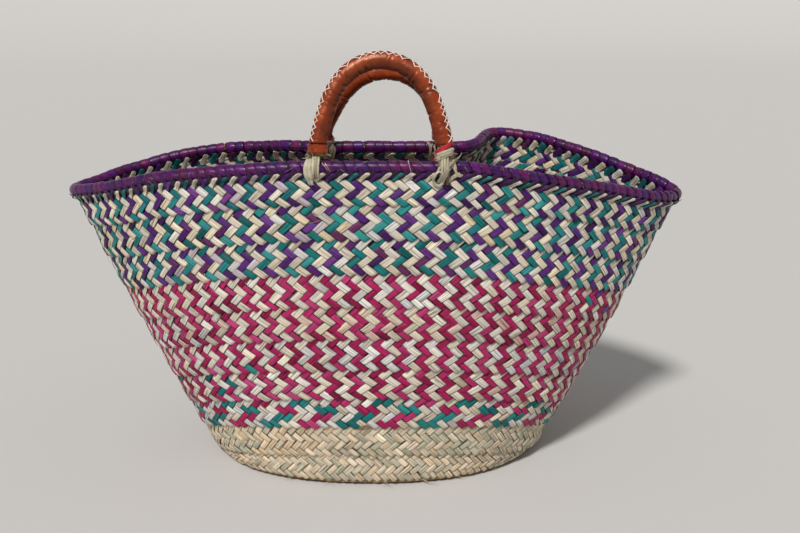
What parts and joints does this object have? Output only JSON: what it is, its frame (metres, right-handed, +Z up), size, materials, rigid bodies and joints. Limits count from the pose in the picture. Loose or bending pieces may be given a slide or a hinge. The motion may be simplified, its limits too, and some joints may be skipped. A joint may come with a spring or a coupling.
{
  "type": "straw market basket",
  "caption": "Oval woven palm-leaf market basket with flaring boat-shaped rim, coloured chevron braid and two short leather-covered handles that swing on the rim.",
  "frame": {"origin": "middle of the overall footprint, on the floor under the oval base", "axes": "+Z up, +X along the basket's length to the right seen from the front, -Y the front face with the upright handle"},
  "size_m": [0.6198, 0.285, 0.4154],
  "materials": {
    "palm_leaf_natural": "dry plaited palm leaf, satin with fine lengthwise fibres",
    "palm_leaf_two_tone_mix": "plaited palm leaf, natural with teal and magenta pairs",
    "palm_leaf_pink": "plaited palm leaf, natural and magenta dyed strands in turn",
    "palm_leaf_teal_purple": "plaited palm leaf, natural, teal and purple dyed strands",
    "palm_twine": "twisted palm fibre twine, matte",
    "palm_rib": "bundled split palm ribs, matte",
    "rim_leaf_purple": "purple dyed leaf wrapping, semi-gloss",
    "handle_rope": "laid palm fibre rope, matte and hairy",
    "leather_tan": "glossy oiled tan leather, creased across the handle",
    "thread_white": "waxed white thread",
    "thread_red": "red cotton thread",
    "leaf_tie": "natural palm leaf lashing"
  },
  "bodies": {
    "basket": {"base_start_strip": "palm_leaf_natural", "base_turn_1": "palm_leaf_natural", "base_turn_2": "palm_leaf_natural", "base_turn_3": "palm_leaf_natural", "wall_turn_01": "palm_leaf_natural", "wall_turn_02": "palm_leaf_natural", "wall_turn_03": "palm_leaf_two_tone_mix", "wall_turn_04": "palm_leaf_pink", "wall_turn_05": "palm_leaf_pink", "wall_turn_06": "palm_leaf_pink", "wall_turn_07": "palm_leaf_pink", "wall_turn_08": "palm_leaf_teal_purple", "wall_turn_09": "palm_leaf_teal_purple", "wall_turn_10": "palm_leaf_teal_purple", "base_seam_twine_1": "palm_twine", "base_seam_twine_2": "palm_twine", "base_seam_twine_3": "palm_twine", "wall_seam_twine_01": "palm_twine", "wall_seam_twine_02": "palm_twine", "wall_seam_twine_03": "palm_twine", "wall_seam_twine_04": "palm_twine", "wall_seam_twine_05": "palm_twine", "wall_seam_twine_06": "palm_twine", "wall_seam_twine_07": "palm_twine", "wall_seam_twine_08": "palm_twine", "wall_seam_twine_09": "palm_twine", "wall_seam_twine_10": "palm_twine", "rim_core_rib_bundle": "palm_rib", "rim_leaf_wrapping": "rim_leaf_purple", "front_left_palm_leaf_tie": "leaf_tie", "front_right_palm_leaf_tie": "leaf_tie", "rear_left_palm_leaf_tie": "leaf_tie", "rear_right_palm_leaf_tie": "leaf_tie"},
    "front_handle": {"front_handle_rope_core": "handle_rope", "front_handle_leather_sleeve": "leather_tan", "front_handle_end_collar": "leather_tan", "front_handle_end_thread_whipping": "thread_red", "front_handle_seam_thread": "thread_white"},
    "rear_handle": {"rear_handle_rope_core": "handle_rope", "rear_handle_leather_sleeve": "leather_tan", "rear_handle_end_collar": "leather_tan", "rear_handle_end_thread_whipping": "thread_red", "rear_handle_seam_thread": "thread_white"}
  },
  "joints": [
    {"name": "front_handle_swing", "type": "hinge", "parent": "basket", "child": "front_handle", "pos_m": [0.00797, -0.13271, 0.31535], "axis": [1, 0, 0], "range_deg": [-33, 102]},
    {"name": "rear_handle_swing", "type": "hinge", "parent": "basket", "child": "rear_handle", "pos_m": [0.00627, 0.05373, 0.30863], "axis": [-1, 0, 0], "range_deg": [-15, 120]}
  ]
}
